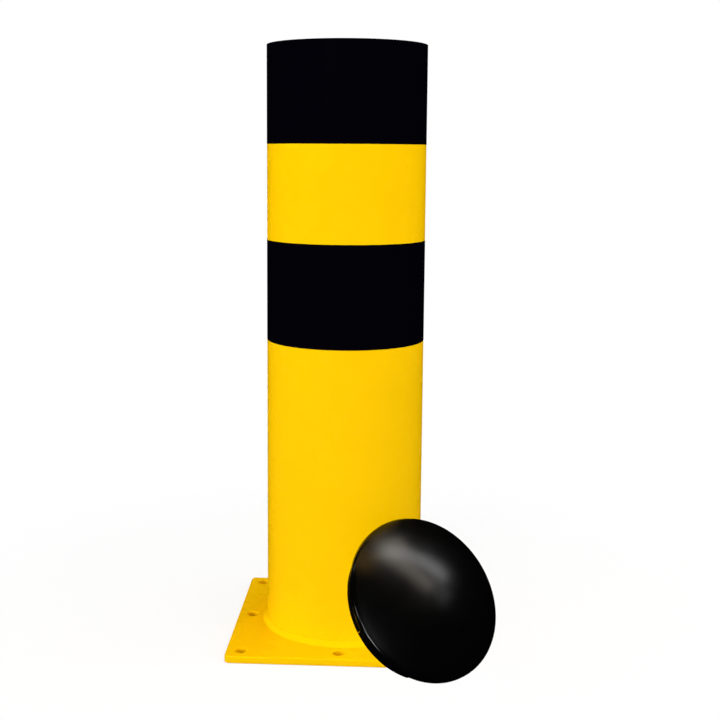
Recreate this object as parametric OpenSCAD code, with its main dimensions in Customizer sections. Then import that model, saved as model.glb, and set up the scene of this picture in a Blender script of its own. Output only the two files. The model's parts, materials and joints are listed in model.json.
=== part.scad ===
// Crash bollard: a steel tube welded to a bolted base plate, with two black
// film bands and a domed plug cap that has been taken off and leans on the
// tube. The origin is on the tube's axis at the underside of the plate.

/* [Tube] */
// Outer diameter of the steel tube
tube_d = 323.9; // [250:0.1:420]
// Wall thickness of the tube
tube_wall = 10; // [5:0.5:16]
// Length of the tube above the plate
tube_h = 1200; // [800:5:1600]

/* [Base plate] */
// How far the square plate stands out past the tube on each side
plate_margin = 63.05; // [55:0.05:110]
// Thickness of the plate
plate_t = 15; // [8:1:30]
// Radius of the plate's four corners, seen from above
plate_corner_r = 10; // [4:1:30]
// Radius of the soft upper and lower edges of the plate
plate_edge_r = 2; // [0.5:0.5:3]
// Diameter of the anchor holes
hole_d = 24; // [14:1:30]
// Distance from the plate's edge to the centres of the holes
hole_inset = 30; // [22:1:35]

/* [Weld] */
// Leg length of the fillet weld round the foot of the tube
weld_leg = 11; // [6:1:16]
// How far the face of the weld bulges out of a flat slope
weld_bulge = 1.8; // [0.4:0.1:2]

/* [Film bands] */
// Height of the upper band, which ends at the tube's rim
upper_band_h = 197; // [100:1:300]
// Height of the yellow field between the bands
band_gap = 193; // [60:1:250]
// Height of the lower band
lower_band_h = 206; // [100:1:300]
// Thickness of the film
film_t = 0.3; // [0.2:0.05:1]
// Width of the lap where the film's end lies over its start
film_lap = 20; // [5:1:60]
// Direction of the lap, in degrees from +X, at the back of the tube
lap_bearing = 80; // [30:1:150]

/* [Cap] */
// How far the cap's rim stands out past the tube
cap_overhang = 1; // [0:0.5:4]
// Height of the straight rim under the dome
cap_rim_h = 9.5; // [7:0.5:30]
// Radius of the rounded edge between rim and dome
cap_edge_r = 7; // [1:0.5:8]
// Rise of the dome above the rim
cap_dome_h = 50; // [20:1:90]
// Wall thickness of the dome and rim
cap_skin = 4; // [2:0.5:6]
// How deep the collar reaches into the tube
collar_depth = 31; // [20:1:60]
// Wall thickness of the collar
collar_t = 3; // [2:0.5:5]
// Radial play between the collar and the bore of the tube
collar_play = 1.2; // [0.6:0.1:3]
// Radial play between the collar's barb and the bore of the tube
barb_play = 0.3; // [0.1:0.05:0.5]
// Distance from the collar's free end to the crest of its barb
barb_setback = 5; // [3:0.5:10]
// Length of the barb's steeper flank, behind its crest
barb_heel = 1.5; // [0.5:0.5:4]
// Number of tabs that make up the collar
tab_count = 3; // [2:1:3]
// Angle left open between two tabs, in degrees
tab_gap = 20; // [8:1:30]
// Width of the notch that parts the barb in the middle of each tab
tab_notch = 1; // [0.5:0.5:8]
// How far the notch reaches on past the barb
notch_past_barb = 1.5; // [0.5:0.5:6]
// Direction of the first gap round the cap's own axis, in degrees
tab_turn = 100; // [75:1:105]
// Thickness of the gussets that tie each tab to the dome
gusset_t = 2.5; // [1.5:0.5:5]
// How far a gusset reaches in from the collar
gusset_reach = 26; // [10:1:50]
// Angle between a gusset and the middle of its half of the tab, in degrees
gusset_spread = 13; // [6:0.5:15]

/* [Where the cap leans] */
// Direction from the tube's axis to the leaning cap, in degrees from +X
cap_bearing = -52.8; // [-80:0.1:-10]
// Gap between the leaning cap and the tube
lean_gap = 0.3; // [0.1:0.1:1]
// How far the cap's foot stands beyond the plate's corner
foot_gap = 26; // [15:0.1:80]

/* [Hidden] */
$fn = 144;

steel_yellow = [1.0, 0.81, 0.03];
film_black = [0.012, 0.011, 0.014];
plastic_black = [0.05, 0.05, 0.05];

// Space that a cutting body takes beyond the face that it cuts
past = 1;

tube_r = tube_d / 2;
bore_r = tube_r - tube_wall;
tube_top = plate_t + tube_h;
plate_w = tube_d + 2 * plate_margin;
hole_x = plate_w / 2 - hole_inset;

upper_band_z = tube_top - upper_band_h;
lower_band_z = upper_band_z - band_gap - lower_band_h;
lap_angle = film_lap / tube_r * 180 / PI;

// The weld's face is an arc through both toes. Its centre lies on the
// diagonal behind the corner that the weld fills.
weld_throat = weld_leg / sqrt(2) + weld_bulge;
weld_centre = (weld_leg * weld_leg - weld_throat * weld_throat) / (2 * sqrt(2) * weld_bulge);
weld_face_r = weld_centre * sqrt(2) + weld_throat;

// The dome is a slice of a sphere that passes through the top of the rim.
cap_r = tube_r + cap_overhang;
dome_r = (cap_r * cap_r + cap_dome_h * cap_dome_h) / (2 * cap_dome_h);
dome_z = cap_rim_h + cap_dome_h - dome_r;
edge_x = cap_r - cap_edge_r;
edge_z = dome_z + sqrt(pow(dome_r - cap_edge_r, 2) - edge_x * edge_x);
edge_tilt = asin(edge_x / (dome_r - cap_edge_r));
collar_r = bore_r - collar_play;
barb_out = collar_play - barb_play;
tab_pitch = 360 / tab_count;
tab_angle = tab_pitch - tab_gap;

// The cap touches the floor and the tube with the two ends of one diameter
// of its collar's free edge, so its tilt follows from how far out its foot
// stands. The foot clears the corner of the plate.
plate_reach = (plate_w / 2 - plate_corner_r) * (abs(cos(cap_bearing)) + abs(sin(cap_bearing)))
    + plate_corner_r;
foot_rho = plate_reach + foot_gap;
touch_rho = tube_r + lean_gap;
cap_lift = asin((foot_rho - touch_rho) / (2 * collar_r));
cap_rho = touch_rho + collar_depth * cos(cap_lift) + collar_r * sin(cap_lift);
cap_z = collar_depth * sin(cap_lift) + collar_r * cos(cap_lift);

// The waste between a sharp edge and a round one, with the sharp edge at
// the origin and the body below and to the left of it.
module edge_waste() {
    difference() {
        translate([-plate_edge_r, -plate_edge_r])
            square(plate_edge_r + past);
        translate([-plate_edge_r, -plate_edge_r])
            circle(plate_edge_r);
    }
}

// The waste along the plate's upper edge, once round the plate.
module plate_edge_waste() {
    straight = plate_w - 2 * plate_corner_r;
    for (turn = [0:90:270])
        rotate([0, 0, turn]) {
            translate([plate_w / 2, straight / 2, 0])
                rotate([90, 0, 0])
                    linear_extrude(straight)
                        edge_waste();
            translate([straight / 2, straight / 2, 0])
                rotate_extrude(angle = 90)
                    translate([plate_corner_r, 0])
                        edge_waste();
        }
}

module plate_outline() {
    straight = plate_w - 2 * plate_corner_r;
    square([plate_w, straight], center = true);
    square([straight, plate_w], center = true);
    for (x = [-1, 1], y = [-1, 1])
        translate([x * straight / 2, y * straight / 2])
            circle(plate_corner_r);
}

// Three holes along every side of the plate: four at the corners and four
// in the middles of the sides.
module anchor_holes() {
    for (i = [-1:1], j = [-1:1])
        if (i != 0 || j != 0)
            translate([i * hole_x, j * hole_x, -past])
                cylinder(d = hole_d, h = plate_t + 2 * past);
}

module base_plate() {
    color(steel_yellow)
        difference() {
            linear_extrude(plate_t)
                plate_outline();
            translate([0, 0, plate_t])
                plate_edge_waste();
            mirror([0, 0, 1])
                plate_edge_waste();
            anchor_holes();
        }
}

module tube() {
    color(steel_yellow)
        translate([0, 0, plate_t])
            difference() {
                cylinder(r = tube_r, h = tube_h);
                translate([0, 0, -past])
                    cylinder(r = bore_r, h = tube_h + 2 * past);
            }
}

module weld_bead() {
    color(steel_yellow)
        translate([0, 0, plate_t])
            rotate_extrude()
                translate([tube_r, 0])
                    intersection() {
                        square(weld_leg);
                        translate([-weld_centre, -weld_centre])
                            circle(weld_face_r);
                    }
}

// A film wrapped once round the tube, with its end lapped over its start.
module film_band(z, h) {
    color(film_black)
        translate([0, 0, z]) {
            rotate_extrude()
                translate([tube_r, 0])
                    square([film_t, h]);
            rotate([0, 0, lap_bearing - lap_angle / 2])
                rotate_extrude(angle = lap_angle)
                    translate([tube_r + film_t / 2, 0])
                        square([film_t * 3 / 2, h]);
        }
}

module upper_band() {
    film_band(upper_band_z, upper_band_h);
}

module lower_band() {
    film_band(lower_band_z, lower_band_h);
}

// Half section of the closed cap: a rim of constant radius under a dome,
// with the edge between them rounded. It stands on the cap's back plane.
module cap_half_section() {
    difference() {
        intersection() {
            square([cap_r, cap_rim_h + cap_dome_h + past]);
            translate([0, dome_z])
                circle(dome_r);
        }
        difference() {
            polygon([
                [edge_x, edge_z],
                [cap_r + past, edge_z],
                [cap_r + past, cap_rim_h + cap_edge_r],
                [edge_x + 2 * cap_edge_r * sin(edge_tilt), edge_z + 2 * cap_edge_r * cos(edge_tilt)]
            ]);
            translate([edge_x, edge_z])
                circle(cap_edge_r);
        }
    }
}

// Half section of the hollow under the dome.
module hollow_half_section(wall) {
    intersection() {
        translate([0, -past])
            square([cap_r - wall, cap_rim_h + cap_dome_h + past]);
        translate([0, dome_z])
            circle(dome_r - wall);
    }
}

// The part of a shape that reaches up to the middle of the dome's wall.
module under_dome() {
    intersection() {
        children();
        translate([0, 0, dome_z])
            sphere(dome_r - cap_skin / 2);
    }
}

// The collar ends in a low barb: a long slope leads it into the bore, and a
// shorter flank behind the crest grips there.
module collar_half_section() {
    polygon([
        [collar_r - collar_t, -collar_depth],
        [collar_r, -collar_depth],
        [collar_r + barb_out, barb_setback - collar_depth],
        [collar_r, barb_setback + barb_heel - collar_depth],
        [collar_r, cap_rim_h + cap_dome_h],
        [collar_r - collar_t, cap_rim_h + cap_dome_h]
    ]);
}

// What the notch takes out of a tab's free end, in the direction of +X.
module barb_notch() {
    notch_h = barb_setback + barb_heel + notch_past_barb;
    translate([collar_r - collar_t - past, -tab_notch / 2, -collar_depth - past])
        cube([collar_t + barb_out + 2 * past, tab_notch, past + notch_h]);
}

// One tab of the collar, from angle 0 to tab_angle, with two pairs of gussets.
module tab() {
    difference() {
        under_dome()
            rotate_extrude(angle = tab_angle)
                collar_half_section();
        rotate([0, 0, tab_angle / 2])
            barb_notch();
    }
    for (half = [1, 3], side = [-1, 1])
        rotate([0, 0, half * tab_angle / 4 + side * gusset_spread])
            gusset();
}

// A three-cornered web between a tab and the underside of the dome.
module gusset() {
    back = collar_r - collar_t / 2;
    under_dome()
        rotate([90, 0, 0])
            linear_extrude(gusset_t, center = true)
                polygon([
                    [back, barb_setback - collar_depth],
                    [back, cap_rim_h + cap_dome_h],
                    [back - gusset_reach, cap_rim_h + cap_dome_h],
                    [back - gusset_reach, cap_rim_h]
                ]);
}

// The cap in its own frame: back plane at Z = 0, dome towards +Z.
module cap_body() {
    rotate_extrude()
        difference() {
            cap_half_section();
            hollow_half_section(cap_skin);
        }
    for (turn = [0:tab_count - 1])
        rotate([0, 0, tab_turn + turn * tab_pitch + tab_gap / 2])
            tab();
}

module cap() {
    color(plastic_black)
        rotate([0, 0, cap_bearing])
            translate([cap_rho, 0, cap_z])
                rotate([0, 90 - cap_lift, 0])
                    cap_body();
}

base_plate();
tube();
weld_bead();
upper_band();
lower_band();
cap();
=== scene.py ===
"""A crash bollard on its foot plate, with its cap taken off and leaning on the tube.

The sections follow the bollard as it is put together: plate, tube, weld, film bands and cap, then the
studio and the camera. Lengths are in metres and angles in radians. The origin is on the tube's axis at
the underside of the plate, +Z is up, and the camera stands towards -Y.
"""
import json

import bmesh
import bpy
import numpy as np
from mathutils import Matrix, Vector


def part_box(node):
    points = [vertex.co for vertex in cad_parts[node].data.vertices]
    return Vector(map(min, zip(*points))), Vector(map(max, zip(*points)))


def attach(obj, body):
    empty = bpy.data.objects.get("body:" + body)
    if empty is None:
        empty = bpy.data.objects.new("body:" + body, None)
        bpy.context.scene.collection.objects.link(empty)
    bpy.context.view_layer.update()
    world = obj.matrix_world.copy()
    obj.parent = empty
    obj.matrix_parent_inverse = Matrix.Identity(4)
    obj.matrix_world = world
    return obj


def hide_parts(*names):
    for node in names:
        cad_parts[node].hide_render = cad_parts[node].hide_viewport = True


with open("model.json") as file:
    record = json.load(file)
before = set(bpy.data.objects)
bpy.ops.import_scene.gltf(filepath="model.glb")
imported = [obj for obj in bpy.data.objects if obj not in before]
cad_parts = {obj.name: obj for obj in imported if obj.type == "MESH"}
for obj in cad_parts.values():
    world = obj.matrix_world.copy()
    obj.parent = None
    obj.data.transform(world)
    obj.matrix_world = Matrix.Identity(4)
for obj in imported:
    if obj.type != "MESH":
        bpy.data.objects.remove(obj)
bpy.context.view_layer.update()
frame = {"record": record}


# Base plate. A square of 15 mm steel, flame cut and drilled with eight anchor holes, its corners and
# edges dressed round so that the powder coat holds on them. It is coated together with the tube.

plate_low, plate_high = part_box("base_plate")
plate_half = plate_high[0]
plate_top = plate_high[2]
plate_corner_radius = 0.010
plate_edge_radius = 0.002
hole_pattern = frame["record"]["mounts"][0]["dims"]
hole_offset = hole_pattern["spacing_x_mm"] / 2000
hole_radius = hole_pattern["hole_r_mm"] / 1000
hole_lip_radius = 0.0008
tube_field_half = 0.1625
hole_face_shares = (1, 0.97, 0.5, 0.04, 0)
lip_steps = 4
edge_steps = 5
arc_steps = 8
straight_steps = 10
border_points = 2 * straight_steps + 9
merge_distance = 2e-6
thinnest_edge = 1e-7
sharp_edge_angle = np.radians(40)


def grid_quads(rows, columns, first):
    """The four point numbers of each quad of a grid that is stored row by row from the number first."""
    row, column = np.mgrid[0:rows - 1, 0:columns - 1]
    corner = first + row * columns + column
    return np.stack([corner, corner + 1, corner + columns + 1, corner + columns], -1).reshape(-1, 4)


def make_piece(name, grids, material, node, flat_loops=()):
    """A closed piece from grids of points (rows, columns, 3) whose borders meet, and from flat faces given as
    loops of points (count, 3). Points that coincide are merged, which closes the seams and poles. The piece
    rides on the root body and takes the place of its CAD node."""
    points, faces, count = [], [], 0
    for grid in grids:
        rows, columns = grid.shape[:2]
        points.append(grid.reshape(-1, 3))
        faces += grid_quads(rows, columns, count).tolist()
        count += rows * columns
    for loop in flat_loops:
        points.append(loop)
        faces.append(list(range(count, count + len(loop))))
        count += len(loop)
    mesh = bpy.data.meshes.new(name)
    mesh.from_pydata(np.concatenate(points).tolist(), [], faces)
    shape = bmesh.new()
    shape.from_mesh(mesh)
    bmesh.ops.remove_doubles(shape, verts=shape.verts, dist=merge_distance)
    bmesh.ops.dissolve_degenerate(shape, edges=shape.edges, dist=thinnest_edge)
    bmesh.ops.recalc_face_normals(shape, faces=shape.faces)
    shape.to_mesh(mesh)
    shape.free()
    mesh.shade_smooth()
    mesh.set_sharp_from_angle(angle=sharp_edge_angle)
    mesh.materials.append(material)
    piece = bpy.data.objects.new(name, mesh)
    bpy.context.scene.collection.objects.link(piece)
    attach(piece, "root")
    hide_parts(node)
    return piece


def add_node(tree, kind, **settings):
    """A shader node with its properties and, by name, its unlinked inputs set."""
    node = tree.nodes.new(kind)
    for name, value in settings.items():
        if hasattr(node, name):
            setattr(node, name, value)
        else:
            node.inputs[name.replace("_", " ")].default_value = value
    return node


def new_material(name):
    """An empty node material with its Principled shader, and the tree and shader to work on."""
    material = bpy.data.materials.new(name)
    material.use_nodes = True
    tree = material.node_tree
    return material, tree, tree.nodes["Principled BSDF"]


def powder_coat(name, colour):
    """Powder coat with a soft gloss: a faint orange peel of about 4 mm over finer grains, and slow changes of
    shade and gloss where the coat is thicker."""
    material, tree, shader = new_material(name)
    link = tree.links.new
    place = tree.nodes.new("ShaderNodeTexCoord")
    cloud = add_node(tree, "ShaderNodeTexNoise", Scale=9.0, Detail=3.0, Roughness=0.55)
    peel = add_node(tree, "ShaderNodeTexNoise", Scale=260.0, Detail=2.0, Roughness=0.5)
    grain = add_node(tree, "ShaderNodeTexNoise", Scale=1400.0, Detail=2.0, Roughness=0.6)
    for texture in (cloud, peel, grain):
        link(place.outputs["Object"], texture.inputs["Vector"])
    shade = add_node(tree, "ShaderNodeMapRange", From_Min=0.3, From_Max=0.7, To_Min=0.975, To_Max=1.015)
    link(cloud.outputs["Fac"], shade.inputs["Value"])
    tint = add_node(tree, "ShaderNodeMix", data_type="RGBA", blend_type="MULTIPLY")
    tint.inputs["Factor"].default_value = 1.0
    tint.inputs["A"].default_value = (*colour, 1)
    link(shade.outputs["Result"], tint.inputs["B"])
    link(tint.outputs["Result"], shader.inputs["Base Color"])
    gloss = add_node(tree, "ShaderNodeMapRange", From_Min=0.3, From_Max=0.7, To_Min=0.24, To_Max=0.30)
    link(cloud.outputs["Fac"], gloss.inputs["Value"])
    link(gloss.outputs["Result"], shader.inputs["Roughness"])
    fine = add_node(tree, "ShaderNodeBump", Strength=0.15, Distance=0.00004)
    link(grain.outputs["Fac"], fine.inputs["Height"])
    wavy = add_node(tree, "ShaderNodeBump", Strength=0.5, Distance=0.00012)
    link(peel.outputs["Fac"], wavy.inputs["Height"])
    link(fine.outputs["Normal"], wavy.inputs["Normal"])
    link(wavy.outputs["Normal"], shader.inputs["Normal"])
    shader.inputs["Specular IOR Level"].default_value = 0.10
    return material


coat_yellow = (1.0, 0.58, 0.001)
coat = powder_coat("yellow_powder_coat", coat_yellow)


def lerp_path(corners, steps):
    """Points (x, y) along a path of straight stretches, with the given number of steps in each stretch."""
    parts = []
    for start, end, count in zip(corners[:-1], corners[1:], steps):
        share = np.arange(count)[:, None] / count
        parts.append(np.array(start) * (1 - share) + np.array(end) * share)
    return np.concatenate(parts + [np.array(corners[-1:])])


def around_hole(centre, loop):
    """A hole's bore with rounded lips, and the flat faces between it and a closed loop round it. Each column
    lies in the direction of one loop point: it runs in over the top face, down the bore and out below."""
    ray = loop - centre
    ray /= np.linalg.norm(ray, axis=1)[:, None]
    lip = hole_lip_radius
    bend = np.linspace(0, np.pi / 2, lip_steps + 1)
    reach = hole_radius + lip - lip * np.sin(bend)
    top = plate_top - lip + lip * np.cos(bend)
    radii = np.concatenate([reach, reach[::-1]])
    heights = np.concatenate([top, plate_top - top[::-1]])
    bore = centre + radii[:, None, None] * ray
    share = np.array(hole_face_shares)[:, None, None]
    flat = bore[0] * (1 - share) + loop * share
    rows = np.concatenate([flat[:-1], bore, flat[::-1][1:]])
    face_rows = len(hole_face_shares) - 1
    level = np.concatenate([np.full(face_rows, plate_top), heights, np.zeros(face_rows)])
    level = np.broadcast_to(level[:, None], rows.shape[:2])
    return np.dstack([rows, level])


def quarter_turns(array):
    """The array of points, and its three copies turned by quarter turns about Z."""
    for turn in range(4):
        angle = turn * np.pi / 2
        cos_a, sin_a = np.cos(angle), np.sin(angle)
        yield array @ np.array([[cos_a, sin_a, 0], [-sin_a, cos_a, 0], [0, 0, 1]])


def make_base_plate():
    """One quarter of the plate is the field round a corner hole and that round a side hole. Their outer
    borders go on over the rounded edges and down the sides, and the quarter is turned four times. The square
    under the tube is one flat face above and one below."""
    rim = plate_half - plate_edge_radius
    inner = tube_field_half
    turn_radius = plate_corner_radius - plate_edge_radius
    corner = rim - turn_radius
    spread = np.arctan2(inner, rim - hole_offset)
    outer_y = (rim - hole_offset) * np.tan(np.linspace(-spread, spread, border_points))
    spread = np.arctan2(inner, hole_offset - inner)
    inner_y = (hole_offset - inner) * np.tan(np.linspace(spread, -spread, border_points))
    angle = np.linspace(0, np.pi / 2, arc_steps + 1)
    arc = corner + turn_radius * np.column_stack([np.cos(angle), np.sin(angle)])
    side_outer = np.column_stack([np.full(outer_y.size, rim), outer_y])
    side_inner = np.column_stack([np.full(inner_y.size, inner), inner_y])
    side_loop = np.concatenate([
        side_outer[:-1],
        lerp_path([(rim, inner), (inner, inner)], [straight_steps])[:-1],
        side_inner[:-1],
        lerp_path([(inner, -inner), (rim, -inner)], [straight_steps]),
    ])
    rise = lerp_path([(rim, inner), (rim, corner)], [straight_steps])
    back = lerp_path([(corner, rim), (inner, rim)], [straight_steps])
    corner_loop = np.concatenate([
        rise[:-1],
        arc[:-1],
        back[:-1],
        lerp_path([(inner, rim), (inner, inner), (rim, inner)], [straight_steps] * 2),
    ])
    border = np.concatenate([side_outer[:-1], rise[:-1], arc[:-1], back])
    outward = border - np.clip(border, -corner, corner)
    outward /= np.linalg.norm(outward, axis=1)[:, None]
    bend = np.linspace(0, np.pi / 2, edge_steps + 1)
    reach = plate_edge_radius * np.sin(bend)
    height = plate_top - plate_edge_radius * (1 - np.cos(bend))
    reach = np.concatenate([reach, reach[::-1]])
    height = np.concatenate([height, plate_top - height[::-1]])
    edge = border + reach[:, None, None] * outward
    edge = np.dstack([edge, np.broadcast_to(height[:, None], edge.shape[:2])])
    fields = [
        around_hole(np.array([hole_offset, 0]), side_loop),
        around_hole(np.array([hole_offset, hole_offset]), corner_loop),
        edge,
    ]
    grids = [turned for field in fields for turned in quarter_turns(field)]
    stretch = np.column_stack([side_inner[::-1][:-1], np.full(inner_y.size - 1, plate_top)])
    middle = np.concatenate(list(quarter_turns(stretch)))
    below = middle[::-1] * [1, 1, 0]
    return make_piece("bollard_base_plate", grids, coat, "base_plate", [middle, below])


base_plate = make_base_plate()


# Tube. Seamless steel pipe sawn to length, its sawn ends broken with a file before it is coated inside and
# out. It stands on the plate, open at the top, so that it can be filled with concrete.

tube_low, tube_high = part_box("tube")
tube_radius = tube_high[0]
tube_wall = 0.010
tube_bottom = tube_low[2]
tube_top = tube_high[2]
rim_radius = 0.0012
rim_steps = 5
rows_up_tube = 25
around_tube = 256


def revolve(profile, columns, start=0.0, stop=2 * np.pi):
    """A profile of (radius, height) points turned about Z from start to stop, with one row for each of them:
    x = radius cos(angle), y = radius sin(angle)."""
    angle = np.linspace(start, stop, columns + 1)
    radius = profile[:, :1]
    height = np.broadcast_to(profile[:, 1:], (len(profile), angle.size))
    return np.dstack([radius * np.cos(angle), radius * np.sin(angle), height])


def arc_points(centre, radius, start, stop, steps):
    """Points (x, y) on an arc about a centre, from the start angle to the stop angle."""
    angle = np.linspace(start, stop, steps + 1)
    return np.column_stack([centre[0] + radius * np.cos(angle), centre[1] + radius * np.sin(angle)])


def make_tube():
    """The wall's section is carried round the axis: up the outside, over the broken rim, down the inside."""
    bore = tube_radius - tube_wall
    heights = np.linspace(tube_bottom, tube_top - 2 * rim_radius, rows_up_tube)
    outside = np.column_stack([np.full(rows_up_tube, tube_radius), heights])
    inside = np.column_stack([np.full(rows_up_tube, bore), heights[::-1]])
    rim_level = tube_top - rim_radius
    over = arc_points((tube_radius - rim_radius, rim_level), rim_radius, 0, np.pi / 2, rim_steps)
    down = arc_points((bore + rim_radius, rim_level), rim_radius, np.pi / 2, np.pi, rim_steps)
    profile = np.concatenate([outside, over, down, inside, outside[:1]])
    return make_piece("bollard_tube", [revolve(profile, around_tube)], coat, "tube")


tube = make_tube()


# Weld. A single run of fillet weld that joins the foot of the tube to the plate all round, laid by a robot,
# so its ripples are fine and even. The coat has smoothed them further.

weld_low, weld_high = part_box("weld_bead")
weld_leg = weld_high[2] - weld_low[2]
weld_steepest = np.radians(52)
weld_easing = np.radians(44)
coat_fillet_share = 0.45
crown_share = 0.70
ripple_pitch = 0.0045
ripple_height = 0.00005
ripple_skew = 2.2
ripple_overtone = 0.35
overtone_phase = 0.8
# height, waves round the tube, phase
drifts = [
    (0.00025, 5, 1.0),
    (0.00015, 13, 2.1),
]
weld_steps = 24
around_weld = 768


def weld_section(steps):
    """Points (radius, height) from the toe on the plate to the toe on the tube. The face leaves the plate
    level, where the coat has filled the toe, is steepest after the fillet's share and eases off over the
    crown, which meets the tube in a crease. The slope is summed up step by step, and the path is scaled to
    the leg both ways."""
    share = np.linspace(0, 1, steps + 1)
    rising = np.clip(share / coat_fillet_share, 0, 1)
    easing = np.clip((share - crown_share) / (1 - crown_share), 0, 1)
    slope = weld_steepest * rising ** 2 * (3 - 2 * rising) - weld_easing * easing ** 2
    stride = np.column_stack([-np.cos(slope), np.sin(slope)])
    path = np.concatenate([[[0, 0]], np.cumsum((stride[1:] + stride[:-1]) / 2, 0)])
    return path / np.abs(path[-1]) * weld_leg + [tube_radius + weld_leg, plate_top]


def make_weld():
    """The section is carried round the tube. Its face is pushed in and out by skewed waves along the seam and
    by the slow drift of the torch, most at half its height and not at all at its toes."""
    angle = np.linspace(0, 2 * np.pi, around_weld + 1)[None, :]
    section = weld_section(weld_steps)
    share = (section[:, 1:] - plate_top) / weld_leg
    hump = 4 * share * (1 - share)
    waves = np.round(2 * np.pi * tube_radius / ripple_pitch)
    phase = waves * angle - ripple_skew * hump
    ripple = ripple_height * (np.sin(phase) + ripple_overtone * np.sin(2 * phase + overtone_phase))
    drift = sum(swing * np.sin(count * angle + shift) for swing, count, shift in drifts)
    push = (drift + ripple) * hump * np.sqrt(0.5)
    radius = section[:, :1] + push
    height = section[:, 1:] + push
    root = np.ones_like(angle)
    radius = np.concatenate([radius, tube_radius * root, radius[:1]])
    height = np.concatenate([height, plate_top * root, height[:1]])
    bead = np.dstack([radius * np.cos(angle), radius * np.sin(angle), height])
    return make_piece("bollard_weld", [bead], coat, "weld_bead")


weld = make_weld()


# Film bands. Two strips of black self-adhesive film, each wrapped once round the coated tube. At the back
# the strip's end laps over its start and is cut square.

film_thickness = 0.0003
film_softness = 0.35
film_black = (0.0010, 0.0007, 0.0022, 1)
lap_width = 0.020
lap_bearing = np.radians(80)
climb_width = 0.0015
climb_steps = 8
cut_width = 1e-5
before_cut = 0.002
after_cut = 0.01
around_film = 288


def black_film():
    """Deep black film with a soft gloss: the coat's orange peel shows through it faintly."""
    material, tree, shader = new_material("black_band_film")
    link = tree.links.new
    place = tree.nodes.new("ShaderNodeTexCoord")
    peel = add_node(tree, "ShaderNodeTexNoise", Scale=180.0, Detail=2.0, Roughness=0.5)
    haze = add_node(tree, "ShaderNodeTexNoise", Scale=14.0, Detail=4.0, Roughness=0.6)
    for texture in (peel, haze):
        link(place.outputs["Object"], texture.inputs["Vector"])
    gloss = add_node(tree, "ShaderNodeMapRange", From_Min=0.3, From_Max=0.7, To_Min=0.20, To_Max=0.26)
    link(haze.outputs["Fac"], gloss.inputs["Value"])
    link(gloss.outputs["Result"], shader.inputs["Roughness"])
    wavy = add_node(tree, "ShaderNodeBump", Strength=0.4, Distance=0.0001)
    link(peel.outputs["Fac"], wavy.inputs["Height"])
    link(wavy.outputs["Normal"], shader.inputs["Normal"])
    shader.inputs["Base Color"].default_value = film_black
    shader.inputs["Specular IOR Level"].default_value = 0.04
    return material


film = black_film()


def make_band(name, node):
    """The strip's section is a thin rectangle with softened outer corners, carried round the tube. Its outer
    radius rises gently, by a smooth step, where the film climbs over its own start, and drops sharply at
    the cut end. The section's rows give the share of the thickness, the share of a softened corner and the
    share of the height."""
    low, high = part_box(node)
    half_lap = lap_width / 2 / tube_radius
    climb = climb_width / tube_radius
    start, end = lap_bearing - half_lap, lap_bearing + half_lap
    angle = np.concatenate([
        start + climb * np.linspace(0, 1, climb_steps + 1),
        end + np.array([-before_cut, 0, cut_width]),
        np.linspace(end + after_cut, start + 2 * np.pi, around_film),
    ])
    past_start = np.clip((angle - start) / climb, 0, 1)
    lifted = past_start ** 2 * (3 - 2 * past_start) * (angle < end + cut_width / 2)
    thick = film_thickness * (1 + lifted)
    soft = film_softness * film_thickness
    section = np.array([[0, 0, 0], [1, 0, 0], [1, 1, 0], [1, -1, 1], [1, 0, 1], [0, 0, 1], [0, 0, 0]])
    radius = tube_radius + section[:, :1] * thick
    corner_in = np.array([0, soft, 0, 0, soft, 0, 0])[:, None]
    height = low[2] + section[:, 2:] * (high[2] - low[2]) + section[:, 1:2] * soft
    radius = radius - corner_in
    height = np.broadcast_to(height, radius.shape)
    band = np.dstack([radius * np.cos(angle), radius * np.sin(angle), height])
    return make_piece(name, [band], film, node)


upper_band = make_band("bollard_upper_band", "upper_band")
lower_band = make_band("bollard_lower_band", "lower_band")


# Cap. One black moulding that plugs the tube: a domed lid with a straight rim, and under it a collar of
# three tabs that end in a barb and are tied to the dome by gussets. It has been pulled off and leans on the
# tube.

cap_overhang = 0.001
cap_radius = tube_radius + cap_overhang
cap_rim_height = 0.0095
cap_edge_radius = 0.007
cap_dome_height = 0.050
cap_skin = 0.004
cap_lip_radius = 0.0006
cap_black = (0.0006, 0.0006, 0.0006, 1)
rubbed_share = 0.3
collar_depth = 0.031
collar_thickness = 0.003
collar_play = 0.0012
barb_play = 0.0003
barb_setback = 0.005
barb_heel = 0.0015
tab_count = 3
tab_gap = np.radians(20)
tab_notch = 0.001
notch_past_barb = 0.0015
tab_turn = np.radians(100)
gusset_thickness = 0.0025
gusset_reach = 0.026
gusset_spread = np.radians(13)
cap_bearing = np.radians(-52.8)
cap_lean_gap = 0.0003
cap_foot_gap = 0.026
around_cap = 288
dome_steps = 56
cap_edge_steps = 8
cap_lip_steps = 4
hollow_steps = 40
tab_steps = 24
gusset_points = 9

dome_radius = (cap_radius ** 2 + cap_dome_height ** 2) / (2 * cap_dome_height)
dome_centre = cap_rim_height + cap_dome_height - dome_radius
collar_radius = tube_radius - tube_wall - collar_play


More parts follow.
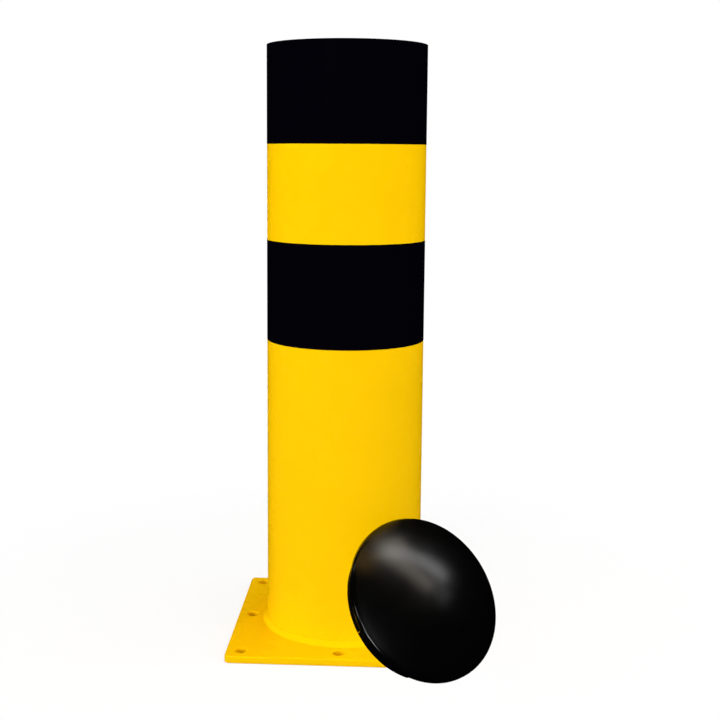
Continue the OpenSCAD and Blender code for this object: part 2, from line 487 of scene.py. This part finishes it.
def satin_plastic():
    """Black polyethylene from a lightly grained mould: a satin sheen with a fine even grain. The attribute
    mould_finish is 1 on the lid's edge, which handling has rubbed smooth, 0 on the dome and the rim, and -1
    on the collar and the inside, where the mould was left matt."""
    material, tree, shader = new_material("black_cap_plastic")
    link = tree.links.new
    place = tree.nodes.new("ShaderNodeTexCoord")
    grain = add_node(tree, "ShaderNodeTexNoise", Scale=1500.0, Detail=3.0, Roughness=0.6)
    flow = add_node(tree, "ShaderNodeTexNoise", Scale=22.0, Detail=3.0, Roughness=0.55)
    for texture in (grain, flow):
        link(place.outputs["Object"], texture.inputs["Vector"])
    gloss = add_node(tree, "ShaderNodeMapRange", From_Min=0.3, From_Max=0.7, To_Min=0.22, To_Max=0.27)
    link(flow.outputs["Fac"], gloss.inputs["Value"])
    finish = add_node(tree, "ShaderNodeAttribute", attribute_name="mould_finish")
    matt = add_node(tree, "ShaderNodeMapRange", From_Min=-1.0, From_Max=0.0, To_Min=0.25, To_Max=0.0)
    rubbed = add_node(tree, "ShaderNodeMapRange", To_Min=0.0, To_Max=-0.10)
    tuned = gloss.outputs["Result"]
    for change in (matt, rubbed):
        link(finish.outputs["Fac"], change.inputs["Value"])
        total = add_node(tree, "ShaderNodeMath", operation="ADD")
        link(tuned, total.inputs[0])
        link(change.outputs["Result"], total.inputs[1])
        tuned = total.outputs["Value"]
    link(tuned, shader.inputs["Roughness"])
    shine = add_node(tree, "ShaderNodeMapRange", From_Min=-1.0, From_Max=0.0, To_Min=0.02, To_Max=0.5)
    link(finish.outputs["Fac"], shine.inputs["Value"])
    link(shine.outputs["Result"], shader.inputs["Specular IOR Level"])
    rough = add_node(tree, "ShaderNodeBump", Strength=0.25, Distance=0.00005)
    link(grain.outputs["Fac"], rough.inputs["Height"])
    link(rough.outputs["Normal"], shader.inputs["Normal"])
    shader.inputs["Base Color"].default_value = cap_black
    return material


plastic = satin_plastic()


def cap_placement():
    """The axes of the cap's own frame as rows, and its origin. The dome's axis is the third, and the lid's
    back plane holds the origin. The two ends of one diameter of the collar's edge meet the floor and the
    tube, which gives the tilt."""
    cos_b, sin_b = np.cos(cap_bearing), np.sin(cap_bearing)
    plate_reach = (plate_half - plate_corner_radius) * (abs(cos_b) + abs(sin_b)) + plate_corner_radius
    touch = tube_radius + cap_lean_gap
    lift = np.arcsin((plate_reach + cap_foot_gap - touch) / (2 * collar_radius))
    out = touch + collar_depth * np.cos(lift) + collar_radius * np.sin(lift)
    up = collar_depth * np.sin(lift) + collar_radius * np.cos(lift)
    axes = np.array([
        [np.sin(lift) * cos_b, np.sin(lift) * sin_b, -np.cos(lift)],
        [-sin_b, cos_b, 0],
        [np.cos(lift) * cos_b, np.cos(lift) * sin_b, np.sin(lift)],
    ])
    return axes, np.array([out * cos_b, out * sin_b, up])


def dome_height_at(radius, offset):
    """Height of the dome's sphere at a distance from the cap's axis, moved inwards by an offset."""
    return dome_centre + np.sqrt((dome_radius - offset) ** 2 - radius ** 2)


def cap_shell():
    """The lid's section turned about its axis: over the dome, round the edge, down the rim and back inside.
    The edge's arc touches the dome's arc and the rim's straight wall."""
    edge_x = cap_radius - cap_edge_radius
    edge_z = dome_centre + np.sqrt((dome_radius - cap_edge_radius) ** 2 - edge_x ** 2)
    tilt = np.arcsin(edge_x / (dome_radius - cap_edge_radius))
    lip = cap_lip_radius
    bore = cap_radius - cap_skin
    dome = arc_points((0, dome_centre), dome_radius, np.pi / 2, np.pi / 2 - tilt, dome_steps)
    edge = arc_points((edge_x, edge_z), cap_edge_radius, np.pi / 2 - tilt, 0, cap_edge_steps)
    foot = arc_points((cap_radius - lip, lip), lip, 0, -np.pi / 2, cap_lip_steps)
    mouth = arc_points((bore + lip, lip), lip, -np.pi / 2, -np.pi, cap_lip_steps)
    inner_radius = dome_radius - cap_skin
    inner_tilt = np.arcsin(bore / inner_radius)
    hollow = arc_points((0, dome_centre), inner_radius, np.pi / 2 - inner_tilt, np.pi / 2, hollow_steps)
    return revolve(np.concatenate([dome, edge[1:], foot, mouth, hollow]), around_cap)


def cap_tab(start, width):
    """One tab of the collar: its section, with the barb, is carried round from a start angle over a width. In
    the middle a notch takes the barb away: there the section ends a little above the barb."""
    free = -collar_depth
    heel = free + barb_setback + barb_heel
    notch = heel + notch_past_barb
    barb = collar_play - barb_play
    inner = collar_radius - collar_thickness
    section = np.array([
        [inner, free],
        [collar_radius, free],
        [collar_radius + barb, free + barb_setback],
        [collar_radius, heel],
        [collar_radius, notch],
        [collar_radius, 0],
        [collar_radius, dome_height_at(collar_radius, cap_skin / 2)],
        [inner, dome_height_at(inner, cap_skin / 2)],
        [inner, notch],
        [inner, free],
    ])
    notched = section.copy()
    notched[[1, 2, 3]] = section[4]
    notched[[0, 9]] = section[8]
    middle = start + width / 2
    half_notch = tab_notch / 2 / collar_radius
    wall = np.concatenate([
        revolve(section, tab_steps, start, middle - half_notch),
        revolve(notched, 1, middle - half_notch, middle + half_notch),
        revolve(section, tab_steps, middle + half_notch, start + width),
    ], 1)
    return wall, [wall[:-1, 0], wall[::-1, -1][:-1]]


def cap_gusset(angle):
    """A web across the collar: its outline, whose top follows the dome, thickened to both sides."""
    back = collar_radius - collar_thickness / 2
    front = back - gusset_reach
    top_x = np.linspace(back, front, gusset_points)
    top = np.column_stack([top_x, dome_height_at(top_x, cap_skin / 2)])
    outline = np.concatenate([[[back, barb_setback - collar_depth]], top, [[front, cap_rim_height]]])
    outline = np.concatenate([outline, outline[:1]])
    half = gusset_thickness / 2
    sides = np.array([-half, half])[:, None]
    x = outline[None, :, 0] * np.cos(angle) - sides * np.sin(angle)
    y = outline[None, :, 0] * np.sin(angle) + sides * np.cos(angle)
    z = np.broadcast_to(outline[:, 1], x.shape)
    wall = np.dstack([x, y, z])
    return wall, [wall[0, :-1], wall[1, ::-1][:-1]]


def make_cap():
    """The lid, its tabs and their gussets, which run into each other, all placed where the cap leans. Each
    tab has four gussets, in pairs about the middles of its two halves."""
    pitch = 2 * np.pi / tab_count
    width = pitch - tab_gap
    grids, loops = [cap_shell()], []
    for number in range(tab_count):
        start = tab_turn + number * pitch + tab_gap / 2
        webs = [start + half * width / 4 + side * gusset_spread for half in (1, 3) for side in (-1, 1)]
        for wall, ends in (cap_tab(start, width), *map(cap_gusset, webs)):
            grids.append(wall)
            loops += ends
    axes, origin = cap_placement()
    grids = [grid @ axes + origin for grid in grids]
    loops = [loop @ axes + origin for loop in loops]
    piece = make_piece("bollard_cap", grids, plastic, "cap", loops)
    points = np.empty(3 * len(piece.data.vertices), np.float32)
    piece.data.vertices.foreach_get("co", points)
    x, y, z = ((points.reshape(-1, 3) - origin) @ axes.T).T
    radius = np.hypot(x, y)
    reach = radius - (cap_radius - cap_edge_radius)
    outer = np.hypot(radius, z - dome_centre) > dome_radius - cap_skin / 2
    outer |= (radius > cap_radius - cap_skin / 2) & (z > -cap_skin / 2)
    rubbed = np.clip(reach / (rubbed_share * cap_edge_radius), 0, 1) * (z > cap_rim_height / 2)
    finish = np.where(outer, rubbed, -1.0).astype(np.float32)
    attribute = piece.data.attributes.new("mould_finish", "FLOAT", "POINT")
    attribute.data.foreach_set("value", finish)
    return piece


cap = make_cap()


# Studio. A plain floor and backdrop that are white to the camera. Seven soft lamps light the bollard, a
# faint one gives its coat a sheen, and others that light only the cap make the highlight on its dome and the
# thin line along its edge.

floor_half = 6.0
floor_grey = 0.15
shadow_strength = 0.25
shadow_reach = 1.3


def white_ray(tree):
    """1 for the rays that find the white background: the camera's own, and those that mirrors and clear glass
    send on. Satin reflections are glossy rays too, but not singular ones, and find no white."""
    link = tree.links.new
    ray = tree.nodes.new("ShaderNodeLightPath")
    bent = add_node(tree, "ShaderNodeMath", operation="ADD")
    link(ray.outputs["Is Glossy Ray"], bent.inputs[0])
    link(ray.outputs["Is Transmission Ray"], bent.inputs[1])
    met = add_node(tree, "ShaderNodeMath", operation="MULTIPLY")
    link(bent.outputs["Value"], met.inputs[0])
    link(ray.outputs["Is Singular Ray"], met.inputs[1])
    white = add_node(tree, "ShaderNodeMath", operation="ADD", use_clamp=True)
    link(ray.outputs["Is Camera Ray"], white.inputs[0])
    link(met.outputs["Value"], white.inputs[1])
    return white.outputs["Value"]


def make_floor():
    """A square sheet. White rays see it white, with a share of its true shading near the bollard. To diffuse
    rays it is dark grey, and to satin reflections it is black."""
    half = floor_half
    corners = [(-half, -half, 0), (half, -half, 0), (half, half, 0), (-half, half, 0)]
    mesh = bpy.data.meshes.new("studio_floor")
    mesh.from_pydata(corners, [], [(0, 1, 2, 3)])
    material = bpy.data.materials.new("floor_paper")
    material.use_nodes = True
    tree = material.node_tree
    link = tree.links.new
    tree.nodes.clear()
    place = tree.nodes.new("ShaderNodeTexCoord")
    away = add_node(tree, "ShaderNodeVectorMath", operation="LENGTH")
    link(place.outputs["Object"], away.inputs[0])
    fade = add_node(tree, "ShaderNodeMapRange", interpolation_type="SMOOTHSTEP",
                    From_Min=shadow_reach / 2, From_Max=shadow_reach, To_Min=1 - shadow_strength, To_Max=1.0)
    link(away.outputs["Value"], fade.inputs["Value"])
    ray = tree.nodes.new("ShaderNodeLightPath")
    tone = add_node(tree, "ShaderNodeMapRange", To_Min=floor_grey, To_Max=0.0)
    link(ray.outputs["Is Glossy Ray"], tone.inputs["Value"])
    grey = tree.nodes.new("ShaderNodeBsdfDiffuse")
    link(tone.outputs["Result"], grey.inputs["Color"])
    paper = add_node(tree, "ShaderNodeBsdfDiffuse", Color=(1, 1, 1, 1))
    glow = add_node(tree, "ShaderNodeEmission", Color=(1, 1, 1, 1), Strength=1.0)
    lit = tree.nodes.new("ShaderNodeMixShader")
    link(fade.outputs["Result"], lit.inputs["Fac"])
    link(paper.outputs["BSDF"], lit.inputs[1])
    link(glow.outputs["Emission"], lit.inputs[2])
    seen = tree.nodes.new("ShaderNodeMixShader")
    link(white_ray(tree), seen.inputs["Fac"])
    link(grey.outputs["BSDF"], seen.inputs[1])
    link(lit.outputs["Shader"], seen.inputs[2])
    output = tree.nodes.new("ShaderNodeOutputMaterial")
    link(seen.outputs["Shader"], output.inputs["Surface"])
    mesh.materials.append(material)
    floor = bpy.data.objects.new("studio_floor", mesh)
    bpy.context.scene.collection.objects.link(floor)


make_floor()


def make_world():
    """White to the rays that find the background and black to all others: the lamps give all the light."""
    world = bpy.data.worlds.new("studio")
    bpy.context.scene.world = world
    world.use_nodes = True
    tree = world.node_tree
    link = tree.links.new
    tree.nodes.clear()
    backdrop = add_node(tree, "ShaderNodeBackground", Color=(1, 1, 1, 1))
    link(white_ray(tree), backdrop.inputs["Strength"])
    output = tree.nodes.new("ShaderNodeOutputWorld")
    link(backdrop.outputs["Background"], output.inputs["Surface"])


make_world()


# The pieces that cast shade in the light of the fill lamps, and the one that the cap's own lamps light.
shading_pieces = bpy.data.collections.new("shading_pieces")
for piece in (base_plate, tube, weld, upper_band, lower_band):
    shading_pieces.objects.link(piece)
cap_alone = bpy.data.collections.new("cap_alone")
cap_alone.objects.link(cap)


def aim_lamp(name, azimuth, elevation, distance, width, height, target, radiance):
    """A flat soft lamp that faces a target from a direction: azimuth in degrees from -Y towards +X, elevation
    in degrees. Its power is radiance times pi times area, so that its face has the radiance (red, green,
    blue) asked for."""
    azimuth, elevation = np.radians(azimuth), np.radians(elevation)
    level_reach = np.cos(elevation)
    away = Vector((np.sin(azimuth) * level_reach, -np.cos(azimuth) * level_reach, np.sin(elevation)))
    lamp = bpy.data.lights.new(name, "AREA")
    lamp.shape = "RECTANGLE"
    lamp.size, lamp.size_y = width, height
    lamp.energy = max(radiance) * np.pi * width * height
    lamp.color = [level / max(radiance) for level in radiance]
    holder = bpy.data.objects.new(name, lamp)
    holder.location = Vector(target) + away * distance
    holder.rotation_euler = away.to_track_quat("Z", "Y").to_euler()
    holder.visible_camera = False
    bpy.context.scene.collection.objects.link(holder)
    return holder


# These light everything, and no reflection shows them. The cap casts no shade in their light. They are
# sampled from the lamp's side alone, because some of their light next to the cap is lost otherwise.
# name, azimuth, elevation, distance, width, height, height of the target, radiance
fill_lamps = [
    ("tent_top", 0, 90, 4.0, 8.0, 8.0, 0.0, 0.85),
    ("tent_left", -90, 0, 4.0, 8.0, 4.0, 2.0, 1.3),
    ("tent_right", 90, 0, 4.0, 8.0, 4.0, 2.0, 1.9),
    ("key_front", -21, 15, 12.0, 3.4, 3.4, 0.15, 12.5),
    ("key_right", 30, 40, 4.0, 2.4, 1.8, 0.3, 1.6),
    ("key_left", -45, 13, 4.0, 1.6, 0.5, 0.02, 8.5),
    ("key_low", -8, 3, 4.0, 2.0, 0.3, 0.02, 16.5),
]
for *place, target_height, level in fill_lamps:
    fill = aim_lamp(*place, (0, 0, target_height), (level, level, level))
    fill.visible_glossy = False
    fill.data.cycles.use_multiple_importance_sampling = False
    fill.light_linking.blocker_collection = shading_pieces

edge_target = (0, -0.1, 0.15)
sheen_radiance = (0.2, 0.2, 0.2)
aim_lamp("sheen", -21, 15, 12.0, 3.4, 3.4, edge_target, sheen_radiance)

white_light = (1.0, 1.0, 1.0)
warm_light = (1.0, 0.9, 0.75)
amber_light = (1.0, 0.6, 0.15)

# The dome's lamps make the soft highlight, and the edge's the thin line. Only the cap receives their light.
# name, azimuth, elevation, distance, width, height, radiance, tint
dome_target = (0.18, -0.24, 0.15)
dome_lamps = [
    ("dome_main", 100, 58, 2.6, 0.5, 2.2, 3.8, white_light),
    ("dome_low", 83, 36, 2.6, 0.7, 0.9, 0.65, white_light),
    ("dome_far", 125, 74, 2.6, 0.6, 0.9, 2.2, warm_light),
    ("dome_near", 75, 64, 2.6, 0.5, 2.2, 2.6, warm_light),
    ("dome_amber", -30, 80, 2.6, 0.8, 0.8, 1.0, amber_light),
]
edge_lamps = [
    ("edge_floor", -15, 1.5, 12.0, 8.0, 0.5, 8.0, white_light),
    ("edge_low", -20, 3, 12.0, 1.6, 1.0, 16.0, white_light),
    ("edge_front", -6, 7, 12.0, 3.0, 1.6, 9.0, white_light),
    ("edge_high", -12, 20, 12.0, 1.6, 1.6, 10.0, white_light),
    ("edge_wide", -21, 15, 12.0, 3.4, 3.4, 2.0, white_light),
    ("edge_left", -46, 16, 12.0, 2.6, 2.0, 6.5, white_light),
    ("edge_top", -75, 60, 12.0, 1.6, 1.6, 4.0, white_light),
]
for lamps, target in ((dome_lamps, dome_target), (edge_lamps, edge_target)):
    for *place, level, tint in lamps:
        lamp = aim_lamp(*place, target, [level * share for share in tint])
        lamp.light_linking.receiver_collection = cap_alone


# Camera. It stands 2.5 m in front of the bollard, a little to its right and at four fifths of its height,
# and looks slightly down. The frame is shifted so that the bollard stands where the photograph has it.

camera_bearing = np.radians(2.863)
camera_distance = 2.4958
camera_height = 1.0024
camera_pan = np.radians(0.262)
camera_pitch = np.radians(7.88)
camera_roll = np.radians(0.356)
frame_pixels = 720
focal_pixels = 1213.8
centre_pixel = (340, 320)
sensor_width = 36.0
view_depth = 50


def place_camera():
    """The camera's axes are worked out from its pan, pitch and roll, and its lens from the focal length in
    pixels."""
    look = camera_bearing + camera_pan
    level_reach = np.cos(camera_pitch)
    ahead = np.array([-np.sin(look) * level_reach, np.cos(look) * level_reach, -np.sin(camera_pitch)])
    right = np.array([np.cos(look), np.sin(look), 0])
    above = np.cross(right, ahead)
    x_axis = np.cos(camera_roll) * right + np.sin(camera_roll) * above
    y_axis = np.cos(camera_roll) * above - np.sin(camera_roll) * right
    sideways, towards = camera_distance * np.sin(camera_bearing), camera_distance * np.cos(camera_bearing)
    spot = (sideways, -towards, camera_height)
    lens = bpy.data.cameras.new("photo_camera")
    lens.sensor_width = sensor_width
    lens.lens = focal_pixels * sensor_width / frame_pixels
    lens.shift_x = (frame_pixels / 2 - centre_pixel[0]) / frame_pixels
    lens.shift_y = (centre_pixel[1] - frame_pixels / 2) / frame_pixels
    lens.clip_end = view_depth
    camera = bpy.data.objects.new("photo_camera", lens)
    matrix = np.eye(4)
    matrix[:3] = np.column_stack([x_axis, y_axis, -ahead, spot])
    camera.matrix_world = Matrix(matrix.tolist())
    bpy.context.scene.collection.objects.link(camera)
    bpy.context.scene.camera = camera


place_camera()
bpy.context.scene.view_settings.view_transform = "Standard"
